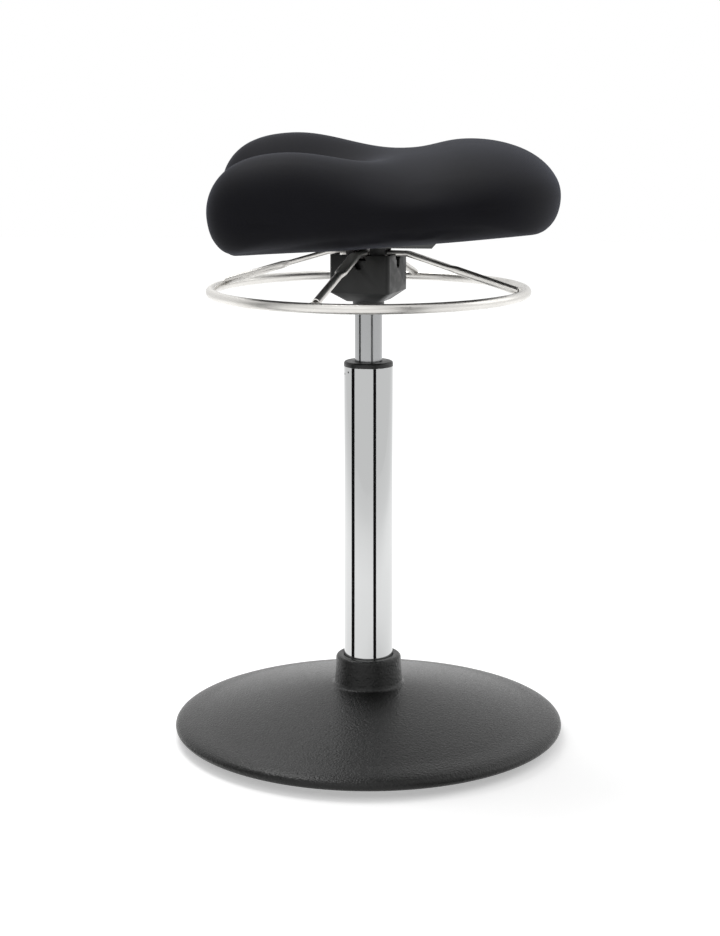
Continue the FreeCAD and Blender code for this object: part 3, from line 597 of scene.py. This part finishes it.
class STOOL_OT_ring(bpy.types.Operator):
    """Make the release ring, merge and smooth its bars and run the weld beads that join them"""
    bl_idname = "stool.ring"
    bl_label = "Release ring"

    def execute(self, context):
        low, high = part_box("release_ring")
        tube = (high.z - low.z) / 2
        radius = high.x - tube
        height = (low.z + high.z) / 2
        steel = drawn_stainless()
        outline = arc((radius, height), tube, 0, 360, 32)[:-1]
        ring = lathe("steel_ring", outline, steel, 256)
        in_place_of(ring, "release_ring")
        for node in ("cross_bar_long", "cross_bar_short"):
            refined(node, steel, 0, 40)
        self.weld_beads(radius, height, tube, steel)
        return {"FINISHED"}

    def weld_beads(self, radius, height, tube, steel):
        """A short row of overlapping lumps where each bar's end sits on the ring."""
        half_width, near, retreat = 4.2 * MM, 1.8 * MM, 4.8 * MM
        small, large, jitter = 0.6, 0.9, 0.15
        dice = random.Random(4)
        form = bmesh.new()
        for k in range(4):
            turn = Matrix.Rotation(math.radians(MECHANISM_TURN + 90 * k), 3, "Z")
            for step in range(15):
                u = step / 7 - 1
                inward = near + max(0.0, abs(u) - 0.5) * retreat
                rise = math.sqrt(tube ** 2 - inward ** 2)
                side = half_width * max(-1.0, min(1.0, 2 * u))
                spot = Vector((radius - inward, side, height + rise))
                spot += Vector([dice.uniform(-jitter, jitter) * MM for _ in range(3)])
                lump = bmesh.ops.create_icosphere(form, subdivisions=2,
                                                  radius=dice.uniform(small, large) * MM)
                bmesh.ops.translate(form, verts=lump["verts"], vec=spot)
                bmesh.ops.rotate(form, verts=lump["verts"], matrix=turn, cent=(0, 0, 0))
        beads = as_object(form, "weld_beads", steel, 60)
        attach(beads, "ring")


class STOOL_OT_bracket(bpy.types.Operator):
    """Ease the folded bracket under the seat and finish its screws and the board"""
    bl_idname = "stool.bracket"
    bl_label = "Seat bracket"

    def execute(self, context):
        refined("seat_bracket", powder_coat(), 0.6 * MM)
        paint(["seat_screws", "tee_nuts"], bpy.data.materials["zinc_plate"])
        paint(["seat_board"], birch_plywood())
        return {"FINISHED"}


def seat_frame():
    """The place of the seat's own plane: x across, y to the rear, z above the underside."""
    size = sizes()
    return (Matrix.Translation((0, 0, size.seat_plane))
            @ Matrix.Rotation(size.seat_yaw, 4, "Z") @ Matrix.Rotation(size.seat_pitch, 4, "X")
            @ Matrix.Rotation(size.seat_roll, 4, "Y"))


def left_over(beyond, power):
    """How much of the height is left at a share of the way from the crest to the edge."""
    return math.sqrt(max(0.0, 1 - max(0.0, beyond) ** power))


def ease_in(share):
    """A smooth step from 0 to 1."""
    return 0.5 - 0.5 * math.cos(math.pi * min(max(share, 0.0), 1.0))


def seat_point(across, along, upper):
    """A point of the seat's skin from its plan place, each from -1 to 1 edge to edge."""
    s = sizes()
    side_power, nose_power, toe_power, round_power = 2.4, 2.6, 2.5, 2
    round_share, tiny = 0.9, 1e-6
    x = across * s.seat_half_width
    lobe = ease_in(abs(x) / s.lobe_centre)
    lobe_left = left_over((abs(x) - s.lobe_centre) / (s.seat_half_width - s.lobe_centre),
                          side_power)
    body_left = left_over(abs(across), side_power)
    front = (s.lobe_place - (s.seat_front + s.lobe_place) * lobe_left
             + s.channel_notch * (1 - lobe))
    rear = s.rear_place + (s.seat_rear - s.rear_place) * body_left
    front_low = s.side_equator + (s.front_equator - s.side_equator) * lobe_left
    rear_low = s.side_equator + (s.rear_equator - s.side_equator) * body_left
    y = front + (rear - front) * (along + 1) / 2
    if not upper:
        beyond = (abs(x) - (s.seat_half_width - s.edge_round)) / s.edge_round
        under = s.side_equator * (1 - left_over(beyond, round_power))
        toe = min(s.toe_round, round_share * (s.lobe_place - front)
                  + (1 - round_share) * s.toe_round)
        heel = min(s.heel_round, round_share * (rear - s.rear_place)
                   + (1 - round_share) * s.heel_round)
        if y < front + toe:
            return Vector((x, y, front_low - (front_low - under)
                           * left_over(1 - (y - front) / toe, toe_power)))
        if y > rear - heel:
            return Vector((x, y, rear_low - (rear_low - under)
                           * left_over(1 - (rear - y) / heel, round_power)))
        return Vector((x, y, under))
    crest = s.channel_height + (s.lobe_height - s.channel_height) * lobe
    lobe_top = front_low + (crest - front_low) * lobe_left
    saddle_top = rear_low + (s.saddle_height - rear_low) * body_left
    rear_top = rear_low + (s.rear_height - rear_low) * body_left
    if y < s.lobe_place:
        beyond = (s.lobe_place - y) / max(s.lobe_place - front, tiny)
        return Vector((x, y, front_low + (lobe_top - front_low) * left_over(beyond, nose_power)))
    if y > s.rear_place:
        beyond = (y - s.rear_place) / max(rear - s.rear_place, tiny)
        return Vector((x, y, rear_low + (rear_top - rear_low) * left_over(beyond, round_power)))
    if y < s.saddle_place:
        share = ease_in((y - s.lobe_place) / (s.saddle_place - s.lobe_place))
        return Vector((x, y, lobe_top + (saddle_top - lobe_top) * share))
    share = ease_in((y - s.saddle_place) / (s.rear_place - s.saddle_place))
    return Vector((x, y, saddle_top + (rear_top - saddle_top) * share))


def rounded_box(form, cuts):
    """A box of even faces pushed out to the seat's form, with its cloth laid out flat as UVs."""
    side_face, flat_share, full_turn = 0.999, 0.8, math.radians(74)
    half_length, drop = 175 * MM, 60 * MM
    bmesh.ops.create_cube(form, size=2)
    bmesh.ops.subdivide_edges(form, edges=form.edges, cuts=cuts, use_grid_fill=True)
    cloth = form.loops.layers.uv.new("cloth")
    where = {vert: vert.co.copy() for vert in form.verts}
    for face in form.faces:
        middle = face.calc_center_median()
        for loop in face.loops:
            u, v, w = where[loop.vert]
            fall = (1 - w) * drop
            if abs(middle.x) > side_face:
                u += math.copysign(fall / sizes().seat_half_width, u)
            elif abs(middle.y) > side_face:
                v += math.copysign(fall / sizes().seat_front, v)
            loop[cloth].uv = (u * sizes().seat_half_width, v * half_length)
    for vert, (u, v, w) in where.items():
        turn = full_turn * min(abs(w), 1.0)
        reach = 1 - (1 - flat_share) * (1 - math.cos(turn)) / (1 - math.cos(full_turn))
        vert.co = seat_point(u * reach, v * reach, w >= 0)


def inflate(piece, cap):
    """Blow the cloth up a little in a simulation, and keep each point within a cap of its start."""
    scene = bpy.context.scene
    frames = 20
    before = [v.co.copy() for v in piece.data.vertices]
    cloth = piece.modifiers.new("inflate", "CLOTH")
    cloth.settings.quality = 5
    cloth.settings.mass = 0.3
    cloth.settings.tension_stiffness = 20
    cloth.settings.compression_stiffness = 20
    cloth.settings.bending_stiffness = 2
    cloth.settings.use_pressure = True
    cloth.settings.uniform_pressure_force = 3
    cloth.settings.effector_weights.gravity = 0
    cloth.settings.vertex_group_mass = "held"
    cloth.collision_settings.use_collision = False
    for step in range(1, frames + 1):
        scene.frame_set(step)
    moved = piece.evaluated_get(bpy.context.evaluated_depsgraph_get())
    after = [v.co.copy() for v in moved.data.vertices]
    piece.modifiers.clear()
    scene.frame_set(1)
    for vert, old, new in zip(piece.data.vertices, before, after):
        step = new - old
        if step.length > cap:
            step *= cap / step.length
        vert.co = old + step


class STOOL_OT_seat(bpy.types.Operator):
    """Make the knitted seat, its lining and the staples that hold the knit"""
    bl_idname = "stool.seat"
    bl_label = "Seat"

    def execute(self, context):
        size = sizes()
        lift, held_below = 0.8 * MM, 1.5 * MM
        form = bmesh.new()
        rounded_box(form, size.seat_grid - 1)
        bmesh.ops.smooth_vert(form, verts=form.verts, factor=0.3, use_axis_x=True,
                              use_axis_y=True, use_axis_z=True)
        for vert in form.verts:
            vert.co.z = max(vert.co.z, lift)
        knit = as_object(form, "knitted_seat", stretch_knit(), 180)
        held = knit.vertex_groups.new(name="held")
        held.add([v.index for v in knit.data.vertices if v.co.z < held_below], 1.0, "REPLACE")
        inflate(knit, size.swell)
        for vert in knit.data.vertices:
            vert.co.z = max(vert.co.z, lift)
        knit.data.transform(seat_frame())
        smooth = knit.modifiers.new("smooth", "SUBSURF")
        smooth.levels = smooth.render_levels = 1
        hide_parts("seat_foam", "seat_cover")
        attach(knit, "lift")
        half, reach, middle = 67 * MM, 134 * MM, 20 * MM
        self.lining(half, reach, middle)
        self.staples(half, reach, middle)
        return {"FINISHED"}

    def lining(self, half, reach, middle):
        """The cloth panel under the seat, which the staples hold from below."""
        low, high = 0.1 * MM, 0.6 * MM
        form = bmesh.new()
        made = bmesh.ops.create_circle(form, cap_ends=True, segments=96, radius=1)
        for vert in made["verts"]:
            vert.co = self.panel_edge(math.atan2(vert.co.y, vert.co.x), half, reach, middle)
            vert.co.z = high
        lower = bmesh.ops.extrude_face_region(form, geom=list(form.faces))["geom"]
        moved = [g for g in lower if isinstance(g, bmesh.types.BMVert)]
        bmesh.ops.translate(form, verts=moved, vec=(0, 0, low - high))
        bmesh.ops.recalc_face_normals(form, faces=form.faces)
        panel = as_object(form, "seat_lining", spunbond_lining())
        panel.data.transform(seat_frame())
        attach(panel, "lift")

    def staples(self, half, reach, middle):
        """Staples in a row inside the lining's edge, each a little askew."""
        size = sizes()
        inset, wide, thick, sunk, ease = 7 * MM, 1.1 * MM, 0.5 * MM, 0.15 * MM, 0.15 * MM
        step, askew = 0.02, 0.25
        dice = random.Random(7)
        form = bmesh.new()
        for k in range(size.staples):
            turn = 2 * math.pi * (k + 0.5) / size.staples
            spot, ahead = (self.panel_edge(turn + extra, half - inset, reach - inset, middle)
                           for extra in (0, step))
            yaw = math.atan2(ahead.y - spot.y, ahead.x - spot.x) + dice.uniform(-askew, askew)
            wire = bmesh.ops.create_cube(form, size=1)["verts"]
            bmesh.ops.scale(form, verts=wire, vec=(size.staple_width, wide, thick))
            bmesh.ops.rotate(form, verts=wire, matrix=Matrix.Rotation(yaw, 3, "Z"),
                             cent=(0, 0, 0))
            bmesh.ops.translate(form, verts=wire, vec=spot - Vector((0, 0, sunk)))
        bmesh.ops.bevel(form, geom=list(form.edges), offset=ease, offset_type="OFFSET",
                        segments=2, profile=0.5, affect="EDGES", material=-1)
        staples = as_object(form, "cover_staples", bpy.data.materials["zinc_plate"])
        staples.data.transform(seat_frame())
        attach(staples, "lift")

    def panel_edge(self, turn, half, reach, middle):
        """A point on a rectangle with softly rounded corners."""
        c, s = math.cos(turn), math.sin(turn)
        power = 1 / 3
        return Vector((half * math.copysign(abs(c) ** power, c),
                       middle + reach * math.copysign(abs(s) ** power, s), 0))


def from_camera_side(right, away, up):
    """A point given as the photograph sees it: right, away from the camera and up."""
    c, s = math.cos(PHOTO_TURN), math.sin(PHOTO_TURN)
    return Vector((-s * right - c * away, c * right - s * away, up))


def seen_by(tree, *rays):
    """1 for the kinds of ray that are named, and 0 for the rest."""
    path = add(tree, "LightPath")
    seen = path.outputs[rays[0]]
    for ray in rays[1:]:
        seen = add(tree, "Math", {0: seen, 1: path.outputs[ray]}, operation="MAXIMUM").outputs[0]
    return seen


class STOOL_OT_stage(bpy.types.Operator):
    """Set the camera, the pale floor, the soft lamps and the dark cards that chrome mirrors"""
    bl_idname = "stool.stage"
    bl_label = "Stage"

    def execute(self, context):
        scene = context.scene
        scene.view_settings.view_transform = "Standard"
        self.camera(scene)
        self.world(scene)
        self.floor()
        self.lamp("key_lamp", place=(-0.55, 0.6, 2.5), size=1.3, watts=32)
        self.lamp("right_lamp", place=(1.7, 0.3, 1.3), size=1.3, watts=5)
        self.lamp("front_lamp", place=(-0.6, -2.2, 1.9), size=1.5, watts=5)
        self.card("left_card", angle=-77, half_angle=9)
        self.card("right_card", angle=29, half_angle=7)
        return {"FINISHED"}

    def camera(self, scene):
        """The photograph's view: 2 m away, a little above the seat, tilted and shifted down."""
        distance, height = 1.981, 0.6829
        pitch = math.radians(6.7)
        focal_px, centre_px, shift_px = 1961, 368.5, 165
        data = bpy.data.cameras.new("camera")
        data.sensor_width = SENSOR
        data.lens = focal_px / IMAGE_HEIGHT * SENSOR
        data.shift_x = (IMAGE_WIDTH / 2 - centre_px) / IMAGE_HEIGHT
        data.shift_y = -shift_px / IMAGE_HEIGHT
        camera = bpy.data.objects.new("camera", data)
        scene.collection.objects.link(camera)
        camera.location = from_camera_side(0, -distance, height)
        aim = from_camera_side(0, math.cos(pitch), -math.sin(pitch))
        camera.rotation_euler = aim.to_track_quat("-Z", "Y").to_euler()
        scene.camera = camera

    def world(self, scene):
        """White where the camera and mirrors look, and a plain level elsewhere."""
        world = bpy.data.worlds.new("studio")
        world.use_nodes = True
        tree = world.node_tree
        tree.nodes.clear()
        seen = seen_by(tree, "Is Camera Ray", "Is Glossy Ray", "Is Transmission Ray")
        level = add(tree, "MapRange", {"Value": seen, "To Min": 0.55, "To Max": 1.0})
        white = add(tree, "Background", {"Color": (1, 1, 1, 1), "Strength": level.outputs[0]})
        add(tree, "OutputWorld", {"Surface": white.outputs[0]})
        scene.world = world

    def floor(self):
        """A white floor that keeps the stool's shadow and otherwise meets the white behind."""
        half_side = 6
        form = bmesh.new()
        bmesh.ops.create_grid(form, x_segments=1, y_segments=1, size=half_side)
        material, tree = blank_material("white_floor")
        seen = seen_by(tree, "Is Camera Ray", "Is Glossy Ray")
        paper = add(tree, "BsdfDiffuse", {"Color": rgba(linear("#f2f2f2"))})
        # The lamps light the middle of the floor more than its far parts, which glow instead.
        place = add(tree, "TexCoord").outputs["Object"]
        reach = add(tree, "VectorMath", {0: place}, operation="LENGTH").outputs["Value"]
        fill = add(tree, "MapRange", {"Value": reach, "From Min": 0.25, "From Max": 1.1,
                                      "To Min": 0.38, "To Max": 0.56})
        level = add(tree, "Math", {0: seen, 1: fill.outputs[0]}, operation="MULTIPLY")
        glow = add(tree, "Emission", {"Color": (1, 1, 1, 1), "Strength": level.outputs[0]})
        both = add(tree, "AddShader", {0: paper.outputs[0], 1: glow.outputs[0]})
        # From below the floor is clear, so that the underside can be looked at.
        below = add(tree, "NewGeometry").outputs["Backfacing"]
        clear = add(tree, "BsdfTransparent")
        sided = add(tree, "MixShader", {0: below, 1: both.outputs[0], 2: clear.outputs[0]})
        add(tree, "OutputMaterial", {"Surface": sided.outputs[0]})
        as_object(form, "floor", material)

    def lamp(self, name, place, size, watts):
        """A square softbox that looks at the stool's middle."""
        stool_middle = 0.35
        data = bpy.data.lights.new(name, "AREA")
        data.shape = "SQUARE"
        data.size = size
        data.energy = watts
        lamp = bpy.data.objects.new(name, data)
        bpy.context.scene.collection.objects.link(lamp)
        lamp.location = from_camera_side(*place)
        aim = Vector((0, 0, stool_middle)) - lamp.location
        lamp.rotation_euler = aim.to_track_quat("-Z", "Y").to_euler()

    def card(self, name, angle, half_angle):
        """A dark card that only mirrors see: a wedge on the floor, then upright at its far end.

        Its angle is counted from the camera's side, in degrees.
        """
        away, tall, near_share, clear = 1.6, 2.2, 0.14, 0.002
        form = bmesh.new()
        sides = []
        for sign in (-1, 1):
            edge = math.radians(angle + sign * half_angle)
            far = from_camera_side(away * math.sin(edge), -away * math.cos(edge), clear)
            sides.append([form.verts.new(far * near_share), form.verts.new(far),
                          form.verts.new(far + Vector((0, 0, tall)))])
        for k in range(2):
            form.faces.new([sides[0][k], sides[1][k], sides[1][k + 1], sides[0][k + 1]])
        material, tree = blank_material(name)
        dark = add(tree, "Emission", {"Color": (0.01, 0.01, 0.01, 1), "Strength": 1.0})
        add(tree, "OutputMaterial", {"Surface": dark.outputs[0]})
        card = as_object(form, name, material)
        card.visible_camera = False
        card.visible_diffuse = False
        card.visible_shadow = False
        card.visible_transmission = False


class STOOL_PT_panel(bpy.types.Panel):
    """Buttons for each group of pieces"""
    bl_idname = "STOOL_PT_panel"
    bl_label = "Perch Stool"
    bl_space_type = "VIEW_3D"
    bl_region_type = "UI"
    bl_category = "Perch Stool"

    def draw(self, context):
        for operator in OPERATORS:
            self.layout.operator(operator.bl_idname)
        for group in (context.scene.stool_sizes, context.scene.stool_colours):
            column = self.layout.column()
            for name in group.__annotations__:
                column.prop(group, name)


OPERATORS = (STOOL_OT_stage, STOOL_OT_base, STOOL_OT_column, STOOL_OT_gas_spring,
             STOOL_OT_mechanism, STOOL_OT_ring, STOOL_OT_bracket, STOOL_OT_seat)
CLASSES = (StoolColours, StoolSizes, *OPERATORS, STOOL_PT_panel)


def register():
    """Register the classes and hang the two property groups on the scene."""
    for item in CLASSES:
        bpy.utils.register_class(item)
    bpy.types.Scene.stool_colours = PointerProperty(type=StoolColours)
    bpy.types.Scene.stool_sizes = PointerProperty(type=StoolSizes)


def unregister():
    """Take the property groups and the classes away again."""
    del bpy.types.Scene.stool_sizes
    del bpy.types.Scene.stool_colours
    for item in reversed(CLASSES):
        bpy.utils.unregister_class(item)


def main():
    """Make the whole stool."""
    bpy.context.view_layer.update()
    register()
    bpy.ops.stool.stage()
    bpy.ops.stool.base()
    bpy.ops.stool.column()
    bpy.ops.stool.gas_spring()
    bpy.ops.stool.mechanism()
    bpy.ops.stool.ring()
    bpy.ops.stool.bracket()
    bpy.ops.stool.seat()


if __name__ == "__main__":
    main()
